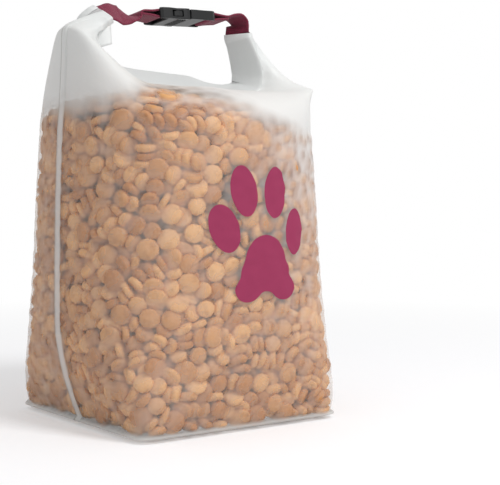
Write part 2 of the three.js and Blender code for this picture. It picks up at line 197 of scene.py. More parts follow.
def on_outline(half_x, half_y, power, shares):
    """x and y on half of a rounded rectangle, at shares of its length: -1 at its left end, 1 at its right."""
    angle = np.linspace(0, np.pi, 721)
    x = -half_x * np.sign(np.cos(angle)) * np.abs(np.cos(angle)) ** (2 / power)
    y = half_y * np.abs(np.sin(angle)) ** (2 / power)
    along = np.concatenate([[0], np.cumsum(np.hypot(np.diff(x), np.diff(y)))])
    wanted = (np.asarray(shares) + 1) / 2 * along[-1]
    return np.interp(wanted, along, x), np.interp(wanted, along, y)


def squareness(place, z, inset):
    """How far out a place lies on the bag's outline at height z: 1 on the outline."""
    half_x, half_y, power = belly_at(np.clip(z, 0, SHOULDER_Z))
    spread_x = (np.abs(place[:, 0]) / (half_x - inset)) ** power
    spread = spread_x + (np.abs(place[:, 1]) / (half_y - inset)) ** power
    return np.maximum(spread, 1e-9) ** (1 / power)


def heap_top(place, spread):
    """The heap's height at places, with its highest part at the front's left."""
    dome = DOME_HEIGHT * np.sqrt(np.maximum(1 - spread ** DOME_POWER, 0))
    round_top = dome - SLOPE * np.maximum(place[:, 0] - SLOPE_START_X, 0)
    from_hump = (place[:, 0] - HUMP_X) ** 2 + (place[:, 1] - HUMP_Y) ** 2
    return SHOULDER_Z + round_top + HUMP_HIGH * np.exp(-from_hump / 2 / HUMP_SPREAD ** 2)


def room_for_kibble(place):
    """How far a place lies outside the film's inner side, below 0 inside, and the way out from there."""
    inset = FILM_WALL + KIBBLE_CLEAR
    step = 0.5
    here = squareness(place, place[:, 2], inset)
    slope = np.stack([
        squareness(place + np.array([step, 0, 0]), place[:, 2], inset) - here,
        squareness(place + np.array([0, step, 0]), place[:, 2], inset) - here,
        squareness(place, place[:, 2] + step, inset) - here,
    ], axis=1) / step
    steepness = np.linalg.norm(slope, axis=1) + 1e-9
    side = (here - 1) / steepness
    out = slope / steepness[:, None]
    dome = heap_top(place, here)
    above = place[:, 2] - dome
    below = FILM_WALL + BASE_CLEAR - place[:, 2]
    up = np.array([0.0, 0.0, 1.0])
    use_top = above > side
    side = np.where(use_top, above, side)
    out = np.where(use_top[:, None], up, out)
    use_base = below > side
    return np.where(use_base, below, side), np.where(use_base[:, None], -up, out)


def first_places(rng):
    """Places for the discs in a layer under the film: on the sides, the top and the base."""
    count_side, count_top = int(DISC_COUNT * SIDE_SHARE), int(DISC_COUNT * TOP_SHARE)
    z = rng.uniform(3, SHOULDER_Z + 4, count_side)
    girth = rng.uniform(-1, 1, count_side)
    facing = rng.choice([-1, 1], count_side)
    sides = np.zeros((count_side, 3))
    for i in range(count_side):
        x, y = on_outline(*belly_at(min(z[i], SHOULDER_Z)), girth[i])
        sides[i] = (x, facing[i] * y, z[i])
    _, out = room_for_kibble(sides * np.array([0.999, 0.999, 1]))
    sides -= out * rng.uniform(BED_START, BED_DEPTH, count_side)[:, None]
    count_flat = DISC_COUNT - count_side
    spread = np.sqrt(rng.uniform(0, 1, count_flat)) * 0.93
    angle = rng.uniform(0, 2 * np.pi, count_flat)
    reach = 88
    flat = np.stack([
        spread * np.cos(angle) * reach, spread * np.sin(angle) * reach, np.zeros(count_flat)], axis=1)
    flat[:count_top, 2] = heap_top(flat[:count_top], spread[:count_top])
    flat[:count_top, 2] -= rng.uniform(BED_START, BED_DEPTH, count_top)
    flat[count_top:, :2] *= 0.84
    flat[count_top:, 2] = rng.uniform(4, 14, count_flat - count_top)
    return np.concatenate([sides, flat])


def disc_points(centre, normal):
    """Seven points in each disc: its middle and six around it. Balls on them fill the disc's shape."""
    helper = np.where(np.abs(normal[:, 2:3]) < 0.8, [[0, 0, 1.0]], [[1.0, 0, 0]])
    across = np.cross(normal, helper)
    across /= np.linalg.norm(across, axis=1)[:, None]
    other = np.cross(normal, across)
    reach = DISC_RADIUS - DISC_HALF_THICK
    angles = np.arange(6) * math.pi / 3
    around = [centre + reach * (math.cos(a) * across + math.sin(a) * other) for a in angles]
    return np.stack([centre, *around], axis=1)


def near_pairs(centre, reach):
    """Pairs of discs whose middles are nearer than a reach."""
    tree = KDTree(len(centre))
    for i, place in enumerate(centre):
        tree.insert(place, i)
    tree.balance()
    return np.array([
        (i, j) for i, place in enumerate(centre) for _, j, _ in tree.find_range(place, reach) if i < j])


def gather(owner, push, count):
    """Adds up each disc's pushes, point by point."""
    flat = push.reshape(len(owner), -1)
    return np.stack([np.bincount(owner, column, count) for column in flat.T], axis=1).reshape(count, 7, 3)


def unit(v):
    """The vectors at length 1."""
    return v / np.maximum(np.linalg.norm(v, axis=-1, keepdims=True), 1e-9)


def settle(centre, normal):
    """Presses the discs against the film and apart from each other, and turns them where they meet.
    The film lays the discs beside it a little flatter each round."""
    count = len(centre)
    for turn in range(SETTLE_ROUNDS):
        if turn % 5 == 0:
            pairs = near_pairs(centre, 2 * DISC_RADIUS + 1.5)
        points = disc_points(centre, normal)
        first, second = pairs[:, 0], pairs[:, 1]
        gap = points[first][:, :, None] - points[second][:, None]
        apart = np.linalg.norm(gap, axis=-1) + 1e-9
        push = gap / apart[..., None] * (np.maximum(2 * DISC_HALF_THICK - apart, 0) / 2)[..., None]
        shove = gather(first, push.sum(axis=2), count) - gather(second, push.sum(axis=1), count)
        outside, out = room_for_kibble(points.reshape(-1, 3))
        excess = np.maximum(outside + DISC_HALF_THICK, 0)
        wall = -WALL_PUSH * (out * excess[:, None]).reshape(count, 7, 3)
        arm = points - points[:, :1]
        twist = np.cross(arm, shove).sum(axis=1) / (3 * (DISC_RADIUS - DISC_HALF_THICK) ** 2)
        shove = shove + wall
        touched = np.maximum((np.abs(shove).sum(axis=2) > 1e-6).sum(axis=1), 1)
        centre = centre + shove.sum(axis=1) / touched[:, None]
        normal = normal + np.cross(twist, normal) * TURN_SHARE
        _, way = room_for_kibble(centre)
        facing_out = (normal * way).sum(axis=1)[:, None]
        normal = unit(normal + LEAN_OUT * facing_out * way)
        centre = centre + way * DRIFT * (1 - turn / SETTLE_ROUNDS)
    return centre, normal


# The discs start in all directions, a little more often level or facing the film than on edge.
UPRIGHT_SHARE, FACE_OUT_SHARE = 1.25, 0.25
rng = np.random.default_rng(7)
disc_centre = first_places(rng)
disc_normal = rng.normal(size=disc_centre.shape) * [1, 1, UPRIGHT_SHARE]
_, way_out = room_for_kibble(disc_centre)
disc_normal += FACE_OUT_SHARE * way_out * (disc_normal * way_out).sum(axis=1)[:, None]
disc_normal /= np.linalg.norm(disc_normal, axis=1)[:, None]
disc_centre, disc_normal = settle(disc_centre, disc_normal)
disc_depth = -room_for_kibble(disc_centre)[0]


def disc_shape(sides, rings):
    """One disc of kibble, 1 in radius and in half thickness, as rings that are bridged and capped."""
    bm = bmesh.new()
    loops = []
    for radius, height in rings:
        lifted = Matrix.Translation((0, 0, height))
        loops.append(bmesh.ops.create_circle(bm, segments=sides, radius=radius, matrix=lifted)["verts"])
    edges = [list({e for v in loop for e in v.link_edges}) for loop in loops]
    for low, high in zip(edges, edges[1:]):
        bmesh.ops.bridge_loops(bm, edges=low + high)
    bmesh.ops.contextual_create(bm, geom=edges[0])
    bmesh.ops.contextual_create(bm, geom=edges[-1])
    bmesh.ops.recalc_face_normals(bm, faces=bm.faces)
    mesh = bpy.data.meshes.new("disc")
    bm.to_mesh(mesh)
    bm.free()
    return mesh


def to_piece(bm, name, slot, *materials):
    """Makes a shape in millimetres a piece in metres, which rides on the bag and has its finish."""
    bmesh.ops.scale(bm, verts=bm.verts, vec=(0.001, 0.001, 0.001))
    mesh = bpy.data.meshes.new(name)
    bm.to_mesh(mesh)
    bm.free()
    for polygon in mesh.polygons:
        polygon.use_smooth = True
    piece = bpy.data.objects.new(name, mesh)
    bpy.context.collection.objects.link(piece)
    for material in materials:
        mesh.materials.append(material)
    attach(piece, "root")
    return piece


def pile(name, chosen, shape, material):
    """The chosen discs as one piece, each a little different in size, thickness and shade."""
    bm = bmesh.new()
    shade = bm.faces.layers.float.new("bake")
    done = 0
    for i in chosen:
        bm.from_mesh(shape)
        bm.verts.ensure_lookup_table()
        across = DISC_RADIUS * rng.choice([0.88, 1, 1.1]) * rng.uniform(0.95, 1.05)
        thick = DISC_HALF_THICK * rng.uniform(0.8, 1)
        turn = Vector(disc_normal[i]).to_track_quat("Z", "Y").to_matrix().to_4x4()
        size = Matrix.Diagonal((across, across * rng.uniform(0.92, 1), thick, 1))
        place = Matrix.Translation(disc_centre[i]) @ turn @ size
        bmesh.ops.transform(bm, matrix=place, verts=bm.verts[done:])
        done = len(bm.verts)
        bm.faces.ensure_lookup_table()
        tone = rng.uniform(0, 1)
        for face in bm.faces[-len(shape.polygons):]:
            face[shade] = tone
    return to_piece(bm, name, "kibble", material)


# Baked kibble: a dull, slightly greasy crust in toasted browns, with fine crumbs and pores. The crumbs
# are about 1.4 mm and the darker toasted patches about 6 mm.
kibble_crust, tree = new_material("baked_kibble_crust")
place = add(tree, "ShaderNodeTexCoord").outputs["Object"]
tone = add(tree, "ShaderNodeAttribute", attribute_name="bake").outputs["Fac"]
crumbs = add(tree, "ShaderNodeTexNoise", {
    "Vector": place, "Scale": 700, "Detail": 3, "Roughness": 0.6}).outputs["Fac"]
mottle = add(tree, "ShaderNodeTexNoise", {"Vector": place, "Scale": 160, "Detail": 2}).outputs["Fac"]
baked = add(tree, "ShaderNodeValToRGB", {"Fac": tone})
baked.color_ramp.elements[0].color = linear(0xC08048)
baked.color_ramp.elements[1].color = linear(0xF0B87C)
patch = add(tree, "ShaderNodeMapRange", {"Value": mottle, "From Min": 0.5, "From Max": 0.75, "To Max": 0.45})
toasted = add(tree, "ShaderNodeMix", {
    0: patch.outputs["Result"], 6: baked.outputs["Color"], 7: linear(0x9C5C28)}, data_type="RGBA")
crust_bump = add(tree, "ShaderNodeBump", {"Height": crumbs, "Strength": 0.5, "Distance": 0.0006})
crust = add(tree, "ShaderNodeBsdfPrincipled", {
    "Base Color": toasted.outputs[2], "Roughness": 0.62, "Normal": crust_bump.outputs[0]})
add(tree, "ShaderNodeOutputMaterial", {"Surface": crust.outputs[0]})

# The rings are shares of a disc's radius and of its half thickness.
fine_disc = disc_shape(10, [(0.84, -1), (1, -0.5), (1, 0.5), (0.84, 1)])
plain_disc = disc_shape(9, [(0.8, -1), (1, 0), (0.8, 1)])
NEAR_DEPTH = 9
near_film = [i for i in range(DISC_COUNT) if disc_depth[i] < NEAR_DEPTH]
behind = [i for i in range(DISC_COUNT) if disc_depth[i] >= NEAR_DEPTH]
kibble_outer = pile("kibble_outer", near_film, fine_disc, kibble_crust)
kibble_inner = pile("kibble_inner", behind, plain_disc, kibble_crust)
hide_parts("kibble_fill")


# Kibble deeper in the bag
# A dark heap fills the middle, where no light comes. Its dark browns are painted shade, so that the gaps
# between the discs look deep.

CORE_INSET, CORE_LIFT = 15, 9
CORE_SQUARE, CORE_END = 0.45, 6
core = bmesh.new()
bmesh.ops.create_icosphere(core, subdivisions=6, radius=1)
for vert in core.verts:
    way = vert.co.normalized()
    low, high = FILM_WALL + CORE_LIFT, SHOULDER_Z + DOME_HEIGHT - CORE_INSET
    z = (low + high) / 2 + (high - low) / 2 * math.copysign(abs(way.z) ** CORE_SQUARE, way.z)
    half_x, half_y, power = belly_at(min(max(z, 0), SHOULDER_Z))
    flat = max(math.hypot(way.x, way.y), 1e-6)
    girth = min(1, (1 - abs(way.z) ** CORE_END) ** 0.5)
    norm = ((abs(way.x) / flat) ** power + (abs(way.y) / flat) ** power) ** (1 / power)
    vert.co = Vector((way.x / flat / norm * (half_x - CORE_INSET) * girth,
                      way.y / flat / norm * (half_y - CORE_INSET) * girth, z))

# Baked kibble with painted shade: dark browns for kibble where little light arrives. Each piece is lighter in
# its middle and darker at its rim, as painted shade between the pieces.
painted_shade_kibble, tree = new_material("kibble_in_shade")
place = add(tree, "ShaderNodeTexCoord").outputs["Object"]
heap = add(tree, "ShaderNodeTexVoronoi", {"Vector": place, "Scale": 90})
shade = add(tree, "ShaderNodeValToRGB", {"Fac": heap.outputs["Distance"]})
shade.color_ramp.elements[0].color = linear(0x8A5A30)
shade.color_ramp.elements[1].color = linear(0x3A2616)
dull = add(tree, "ShaderNodeBsdfPrincipled", {"Base Color": shade.outputs["Color"], "Roughness": 0.9})
add(tree, "ShaderNodeOutputMaterial", {"Surface": dull.outputs[0]})
kibble_core = to_piece(core, "kibble_core", "kibble", painted_shade_kibble)


# Film bag
# One sheet of frosted film, folded up under the base and welded along both sides and along the
# ends of the base. The weld is a flat paler band on the front's edge. The front's upper end goes
# on over the roll and down its back.

WELD_HALF, WELD_RAISE = 7, 0.9
LIP_WIDTH, LIP_THICK = 4, 1
BASE_RISE = 3
ROLL_WIDE, ROLL_THICK, END_TAPER = 12.7, 3.4, 2.3
# The middle of the roll from its left end to its right, and the direction across its flat side.
ROLL_ROUTE = [
    (-57.8, 277.7, (0, 0.8, 0.6)),
    (-63.6, 274.1, (0, 0.8, 0.6)),
    (-68.1, 269.5, (0, 0.8, 0.6)),
    (-69.4, 264.5, (0, 0.8, 0.6)),
    (-66.4, 258.0, (0, 0.8, 0.6)),
    (-60.0, 249.6, (0, 0.83, 0.55)),
    (-51.9, 241.4, (0, 0.87, 0.5)),
    (-41.7, 236.3, (0, 0.87, 0.5)),
    (-28.9, 234.0, (0, 0.87, 0.5)),
    (-14.3, 232.6, (0, 0.86, 0.53)),
    (0.5, 232.0, (0, 0.88, 0.46)),
    (16.0, 231.3, (0, 0.9, 0.42)),
    (32.4, 228.5, (0, 0.93, 0.3)),
    (50.1, 227.8, (-0.2, 0.95, 0.25)),
    (61.0, 231.0, (-0.4, 0.9, 0.2)),
    (63.3, 238.2, (-0.5, 0.87, 0.2)),
    (62.0, 246.9, (-0.5, 0.87, 0.2)),
    (59.2, 255.0, (-0.5, 0.87, 0.2)),
    (56.1, 262.4, (-0.5, 0.87, 0.1)),
    (54.1, 266.7, (-0.5, 0.87, 0)),
    (53.8, 269.5, (-0.5, 0.87, 0)),
]
# Each ear: the film's half widths where it folds over, how far that fold rises and the wall below it
# reaches up, and how tightly the film turns in towards the roll.
LEFT_EAR = {"x": 90, "y": 33, "rise": 35, "reach": 66, "tight": 5}
RIGHT_EAR = {"x": 97, "y": 58, "rise": -3, "reach": 24, "tight": 6}
KNEE_Z, KNEE_DIP = 233, 4.6
EAR_CORNER, EAR_NARROW = 10, 0.06
HANDLE_REACH, TIGHT = 26, 3
# The cover starts at this angle of the roll's section in the middle of the mouth, and under it at both ends.
START_ANGLE, UNDER_ROLL = 155, 270
# How flat the roll's broad sides are, and how square its edges.
SIDE_FLAT, EDGE_SQUARE = 1.35, 0.45


def smooth(start, end, x):
    """0 before start, 1 after end, and a soft step between them."""
    t = np.clip((x - start) / (end - start), 0, 1)
    return t * t * (3 - 2 * t)


def smooth_curve(points, per_span=24):
    """Places on a smooth curve through the points, evenly timed on each span between two of them."""
    p = np.array(points, float)
    p = np.vstack([2 * p[0] - p[1], p, 2 * p[-1] - p[-2]])
    knots = np.concatenate([[0], np.cumsum(np.linalg.norm(np.diff(p, axis=0), axis=1) ** 0.5)])
    fine = []
    for i in range(1, len(p) - 2):
        last = i == len(p) - 3
        t = np.linspace(knots[i], knots[i + 1], per_span + last, endpoint=last)[:, None]

        def between(a, b, start, end):
            return ((end - t) * a + (t - start) * b) / (end - start)

        a1 = between(p[i - 1], p[i], knots[i - 1], knots[i])
        a2 = between(p[i], p[i + 1], knots[i], knots[i + 1])
        a3 = between(p[i + 1], p[i + 2], knots[i + 1], knots[i + 2])
        b1 = between(a1, a2, knots[i - 1], knots[i + 1])
        b2 = between(a2, a3, knots[i], knots[i + 2])
        fine.append(between(b1, b2, knots[i], knots[i + 1]))
    return np.vstack(fine)


def lengths(places):
    """How far along a row of places each one lies."""
    return np.concatenate([[0], np.cumsum(np.linalg.norm(np.diff(places, axis=0), axis=1))])


def at_shares(values, length, shares):
    """Values at shares of a curve's length."""
    wanted = np.asarray(shares) * length[-1]
    return np.stack([np.interp(wanted, length, column) for column in values.T], axis=1)


def roll_frames(s):
    """At shares of the roll's length: its middle, direction, flat side, upper side and half width."""
    fine = smooth_curve([(x, 0, z) for x, z, _ in ROLL_ROUTE])
    timing = np.linspace(0, len(ROLL_ROUTE) - 1, len(fine))
    sides = np.array([side for _, _, side in ROLL_ROUTE], float)
    flat = np.stack([np.interp(timing, np.arange(len(sides)), column) for column in sides.T], axis=1)
    length = lengths(fine)
    share = (np.asarray(s, float) + 1) / 2
    ahead = unit(at_shares(np.gradient(fine, axis=0), length, share))
    wide = at_shares(flat, length, share)
    wide = unit(wide - (wide * ahead).sum(axis=1)[:, None] * ahead)
    half_wide = ROLL_WIDE - END_TAPER * smooth(0.75, 1, np.abs(s))
    return at_shares(fine, length, share), ahead, wide, np.cross(ahead, wide), half_wide


def on_roll(frames, angle, grow=0):
    """Places on the roll's section, at an angle from its back edge over its top to its front edge."""
    centre, _, wide, up, half_wide = frames
    c, d = np.cos(angle), np.sin(angle)
    thick = ROLL_THICK + grow
    across = (half_wide - ROLL_THICK) * np.clip(SIDE_FLAT * c, -1, 1) + thick * c
    lift = thick * np.sign(d) * np.abs(d) ** EDGE_SQUARE
    return centre + wide * across[:, None] + up * lift[:, None]


def start_of_cover(s):
    """The angle on the roll's section where the film meets it, in degrees."""
    return START_ANGLE + (UNDER_ROLL - START_ANGLE) * np.abs(s) ** 8


def top_of_film(s, side, shares):
    """The film's rows from the shoulder to its upper end, on one side of the bag."""
    x, y = on_outline(*belly_at(np.float64(SHOULDER_Z)), s)
    start = np.stack([x, side * y, np.full_like(x, SHOULDER_Z)], axis=1)
    share = smooth(0.35, 0.95, np.abs(s))
    right = smooth(-0.3, 0.3, s)
    ear = {key: LEFT_EAR[key] * (1 - right) + RIGHT_EAR[key] * right for key in LEFT_EAR}
    left_x, left_y = on_outline(LEFT_EAR["x"], LEFT_EAR["y"], 2.6, s)
    right_x, right_y = on_outline(RIGHT_EAR["x"], RIGHT_EAR["y"], 2.6, s)
    knee_x, knee_y = left_x * (1 - right) + right_x * right, left_y * (1 - right) + right_y * right
    knee_z = KNEE_Z - KNEE_DIP * smooth(-0.05, 0.15, s) + ear["rise"] * share
    knee = np.stack([knee_x, side * knee_y, knee_z], axis=1)
    handle = start + np.array([0, 0, 1.0]) * (HANDLE_REACH + (ear["reach"] - HANDLE_REACH) * share)[:, None]
    handle[:, :2] *= (1 - EAR_NARROW * share * (1 - right))[:, None]
    end_angle = np.radians(start_of_cover(s)) if side < 0 else np.full(len(s), math.radians(UNDER_ROLL))
    end = on_roll(roll_frames(s), end_angle)
    tight = TIGHT + (ear["tight"] - TIGHT) * share
    out = unit(np.stack([x, side * y * 0.5, np.full_like(x, 45)], axis=1))
    rows = []
    for w in shares:
        from_start, to_end = ((1 - w) ** tight)[:, None], (w ** tight)[:, None]
        point = from_start * start + to_end * end + (1 - from_start - to_end) * ((1 - w) * handle + w * knee)
        along_ridge = math.exp(-((w - 0.5) / (0.27 if w < 0.5 else 0.42)) ** 2) * (1 - w ** 5)
        corner = EAR_CORNER * np.exp(-((s - 0.8) / 0.2) ** 2) * along_ridge
        rows.append(point + out * corner[:, None])
    return rows


# Columns run once round the bag from the left seam over the front, closer at the welds' edges.
HALF_GIRTH = 305
weld_steps = np.array([
    0, 2.5, WELD_HALF - 0.9, WELD_HALF - 0.3, WELD_HALF + 0.3, WELD_HALF + 1.2, WELD_HALF + 3]) / HALF_GIRTH
PLAIN_COLUMNS, COLUMN_GAP = 108, 0.012
plain = np.linspace(-1 + weld_steps[-1] + COLUMN_GAP, 1 - weld_steps[-1] - COLUMN_GAP, PLAIN_COLUMNS)
front = np.concatenate([-1 + weld_steps, plain, 1 - weld_steps[::-1]])
back = front[-2:0:-1]
columns = np.concatenate([front, back])
facing = np.concatenate([-np.ones(len(front)), np.ones(len(back))])

# Rows of the base: each one's height and its share of the outline.
BASE_ROWS = [
    (0, 0.0), (0, 0.35), (0, 0.72), (0.2, 0.86), (1.1, 0.95), (BASE_RISE, 1), (BASE_RISE + LIP_THICK, 1)]
LIP_ROWS = (5, 6)
body_heights = np.linspace(BASE_RISE + LIP_THICK + 2.5, SHOULDER_Z, 76)
top_shares = np.linspace(0, 1, 38)[1:]


def film_side(s, side):
    """One side's rows of places, from the middle of the base to the upper end."""
    rows = []
    for z, scale in [*BASE_ROWS, *[(z, 1) for z in body_heights]]:
        x, y = on_outline(*belly_at(np.float64(z)), s)
        rows.append(np.stack([x * scale, side * y * scale, np.full_like(x, z)], axis=1))
    return np.array(rows + top_of_film(s, side, top_shares))


film = np.concatenate([film_side(front, -1), film_side(back, 1)], axis=1)
row_count = len(film)
GIRTH_ROW, TOP_HIGH = 40, 90
girth = lengths(film[GIRTH_ROW])
across_sheet = girth - girth[len(front) // 2]
lower_rows = len(BASE_ROWS) + len(body_heights)
up_sheet = np.concatenate([film[:lower_rows, 0, 2], SHOULDER_Z + TOP_HIGH * top_shares])

round_film = np.roll(film, -1, axis=1) - np.roll(film, 1, axis=1)
out_film = unit(np.cross(round_film, np.gradient(film, axis=0)))
out_film[0] = (0, 0, -1)

# How near the kibble is to each point of the film: there the film is pressed out and looks clearer.
beads = KDTree(DISC_COUNT * 7)
for i, bead in enumerate(disc_points(disc_centre, disc_normal).reshape(-1, 3)):
    beads.insert(bead, i)
beads.balance()
kibble_gap = np.array([[beads.find(p)[2] - DISC_HALF_THICK for p in row] for row in film])

height = film[..., 2]
TOUCH_GAP, PRESS_WIDTH = 0.9, 1.5
pressed = np.exp(-(np.maximum(kibble_gap - TOUCH_GAP, 0) / PRESS_WIDTH) ** 2)
fullness = smooth(2, 14, height) * (1 - smooth(204, 228, height))
is_weld = np.abs(columns) > 1 - WELD_HALF / HALF_GIRTH
raised = np.where(is_weld, WELD_RAISE, 0)[None, :] * (np.arange(row_count) > LIP_ROWS[1])[:, None]
raised[-8:] *= np.linspace(1, 0, 8)[:, None]
PRESSED_OUT, SUNK_IN, WELD_BULGE = 0.8, 0.35, 0.3
bulge = fullness * (pressed * PRESSED_OUT - SUNK_IN)
bulge[:, is_weld] *= WELD_BULGE
film = film + out_film * (bulge + raised)[..., None]
for row in LIP_ROWS:
    film[row, :, 0] += np.sign(columns) * LIP_WIDTH * smooth(0.43, 0.5, np.abs(columns))
film[0] = (0, 0, 0)

# Haze is the share of light that the film scatters: least where kibble touches, most where nothing
# does. The film lies slack on the right and at the top: there it is hazier, and kibble shows less.
BACK_SLACK = 0.2
LEAST_HAZE, SLACK_HAZE, GAP_HAZE, TOP_GAP_HAZE = 0.11, 0.52, 0.5, 0.34
EMPTY_HAZE, WELD_HAZE, LIP_HAZE = 0.94, 0.84, 0.8
slack_across = smooth(-35, 75, across_sheet)[None, :]
slack = slack_across * (0.25 + 0.75 * smooth(90, 215, height)) * smooth(20, 90, height)
slack = np.where(facing[None, :] < 0, slack, BACK_SLACK)
away = 1 - np.exp(-np.maximum(kibble_gap - TOUCH_GAP, 0) / (3.4 - 1.6 * slack))
in_gaps = GAP_HAZE - 0.05 * slack + TOP_GAP_HAZE * smooth(SHOULDER_Z, 228, height)
haze = LEAST_HAZE + SLACK_HAZE * slack + in_gaps * away
haze = np.maximum(haze, EMPTY_HAZE * smooth(220, 237, height))
haze = np.where(is_weld[None, :], np.maximum(haze, WELD_HAZE), haze)
haze[LIP_ROWS[0]:LIP_ROWS[1] + 1] = LIP_HAZE
# A thin dark line of painted shadow runs along the weld's back edge, where the weld's free edge would shade
# the sheet.
seam_shadow_line = np.exp(-(((1 - np.abs(columns)) * HALF_GIRTH - WELD_HALF) / 1) ** 2) * (facing > 0)

# The cover: the front's upper end, from the roll's front edge over its top and under its back.
COVER_ROWS, COVER_STEP, COVER_END = 22, 2.2, -70
start_angle = start_of_cover(front)
roll_here = roll_frames(front)
cover_angles = [start_angle + (COVER_END - start_angle) * k / COVER_ROWS for k in range(1, COVER_ROWS + 1)]
cover = np.array([film[-1, :len(front)], *[on_roll(roll_here, np.radians(angle)) for angle in cover_angles]])


# A loose corner of the outermost turn hangs below the roll's left end.
FLAP_COLUMNS, FLAP_ROWS, FLAP_WIDE, FLAP_HIGH, FLAP_BOW = 7, 9, 8, 15, 1.5
flap_corners = np.array([[(-68.5, -5, 272), (-56, -7, 272)], [(-66.5, -5, 254), (-56.2, -9, 257.2)]], float)
flap_u, flap_v = np.meshgrid(np.linspace(0, 1, FLAP_COLUMNS), np.linspace(0, 1, FLAP_ROWS))
flap = sum(((1 - flap_v) if r == 0 else flap_v)[..., None] * ((1 - flap_u) if c == 0 else flap_u)[..., None]
           * flap_corners[r, c] for r in (0, 1) for c in (0, 1))
flap[..., 1] -= FLAP_BOW * np.sin(np.pi * flap_u)


def sheet_grid(bm, places, across, up, values):
    """Adds a sheet with its places, its own coordinates in metres and its named values at each point."""
    rows, count = places.shape[:2]
    made = bmesh.ops.create_grid(bm, x_segments=count - 1, y_segments=rows - 1, size=0.5)["verts"]
    uv = bm.loops.layers.uv["sheet"]
    at = {}
    for vert in made:
        at[vert] = (round((vert.co.y + 0.5) * (rows - 1)), round((vert.co.x + 0.5) * (count - 1)))
    for vert, (r, c) in at.items():
        vert.co = places[r, c]
        for name, value in values.items():
            vert[bm.verts.layers.float[name]] = value[r, c]
    for face in {face for vert in made for face in vert.link_faces}:
        for loop in face.loops:
            r, c = at[loop.vert]
            loop[uv].uv = (across[c] / 1000, up[r] / 1000)


bm = bmesh.new()
bm.loops.layers.uv.new("sheet")
bm.verts.layers.float.new("haze")
bm.verts.layers.float.new("seam")
whole = np.concatenate([film, film[:, :1]], axis=1)
LAST_COLUMN = 3
whole_across = np.append(across_sheet, across_sheet[-1] + LAST_COLUMN)
sheet_grid(bm, whole, whole_across, up_sheet, {
    "haze": np.concatenate([haze, haze[:, :1]], axis=1),
    "seam": np.tile(np.append(seam_shadow_line, seam_shadow_line[0]), (row_count, 1))})
hem = smooth(0.955, 0.965, np.abs(front))
COVER_HAZE, HEM_HAZE = 0.86, 0.08
sheet_grid(bm, cover, across_sheet[:len(front)], up_sheet[-1] + np.arange(len(cover)) * COVER_STEP, {
    "haze": np.tile(COVER_HAZE + HEM_HAZE * hem, (len(cover), 1)),
    "seam": np.zeros((len(cover), len(front)))})
flap_across, flap_up = np.linspace(0, FLAP_WIDE, FLAP_COLUMNS), np.linspace(0, FLAP_HIGH, FLAP_ROWS)
sheet_grid(bm, flap, flap_across, up_sheet[-1] + flap_up, {
    "haze": np.full(flap.shape[:2], EMPTY_HAZE), "seam": np.zeros(flap.shape[:2])})
bmesh.ops.remove_doubles(bm, verts=bm.verts, dist=0.01)
bmesh.ops.recalc_face_normals(bm, faces=bm.faces)

# Frosted film: a soft polymer sheet with a matt, milky finish. It scatters most light forwards,
# so kibble that touches it shows and the gaps between go pale and bluish.
PRINT = 0xA03B5E
frosted_film, tree = new_material("frosted_film")
place = add(tree, "ShaderNodeTexCoord").outputs["Object"]
sheet_uv = add(tree, "ShaderNodeUVMap", uv_map="sheet").outputs[0]
haze_value = add(tree, "ShaderNodeAttribute", attribute_name="haze").outputs["Fac"]
seam_shadow_value = add(tree, "ShaderNodeAttribute", attribute_name="seam").outputs["Fac"]
ripple = add(tree, "ShaderNodeTexNoise", {"Vector": place, "Scale": 110, "Detail": 2}).outputs["Fac"]
film_bump = add(tree, "ShaderNodeBump", {"Height": ripple, "Strength": 0.18, "Distance": 0.002}).outputs[0]
face = add(tree, "ShaderNodeBsdfPrincipled", {
    "Base Color": linear(0xFCFEFD), "Roughness": 0.42, "IOR": 1.45, "Normal": film_bump}).outputs[0]
glow = add(tree, "ShaderNodeBsdfTranslucent", {"Color": linear(0xFBFDFB), "Normal": film_bump}).outputs[0]
lit = add(tree, "ShaderNodeMapRange", {
    "Value": haze_value, "From Min": 0.4, "From Max": 0.9, "To Min": 0.55, "To Max": 0.24}).outputs["Result"]
milk = add(tree, "ShaderNodeMixShader", {"Fac": lit, 1: face, 2: glow}).outputs[0]
clear = add(tree, "ShaderNodeBsdfTransparent", {"Color": linear(0xFFFFFF)}).outputs[0]
sheet = add(tree, "ShaderNodeMixShader", {"Fac": haze_value, 1: clear, 2: milk}).outputs[0]
# Painted shadow along the weld's back edge: a dark brown diffuse, mixed in by the seam value.
painted_seam_shadow = add(tree, "ShaderNodeBsdfDiffuse", {"Color": linear(0x6E6252)}).outputs[0]
darkness = add(tree, "ShaderNodeMath", {0: seam_shadow_value, 1: 0.7}, operation="MULTIPLY").outputs[0]
sheet = add(tree, "ShaderNodeMixShader", {"Fac": darkness, 1: sheet, 2: painted_seam_shadow}).outputs[0]

# The print is four toes and a pad in one flat ink. Each field is an ellipse: its middle, from the
# front's middle line and the table, its half width and half height in millimetres, and its lean.
TOES = [
    ((-23.5, 136), 11, 16.5, 24), ((-8, 160), 10.5, 17, 13),
    ((18.5, 158.5), 9.5, 17, -3), ((36.5, 132), 8.5, 15.5, -5)]
PAD = [
    ((9.5, 112.4), 17.2, 18.5, 0), ((9.5, 106.8), 18.1, 7.3, 0),
    ((-5.9, 95.3), 9.7, 8, 0), ((24.9, 95.3), 9.7, 8, 0)]
PAD_BLEND = 0.9


def ellipse(middle, half_wide, half_high, lean):
    """How far out a place lies on an ellipse of the sheet: 1 on its line."""
    turned = add(tree, "ShaderNodeMapping", {
        "Vector": sheet_uv, "Location": (middle[0] / 1000, middle[1] / 1000, 0),
        "Rotation": (0, 0, math.radians(lean)), "Scale": (half_wide / 1000, half_high / 1000, 1)},
        vector_type="TEXTURE")
    return add(tree, "ShaderNodeVectorMath", {0: turned.outputs[0]}, operation="LENGTH").outputs["Value"]


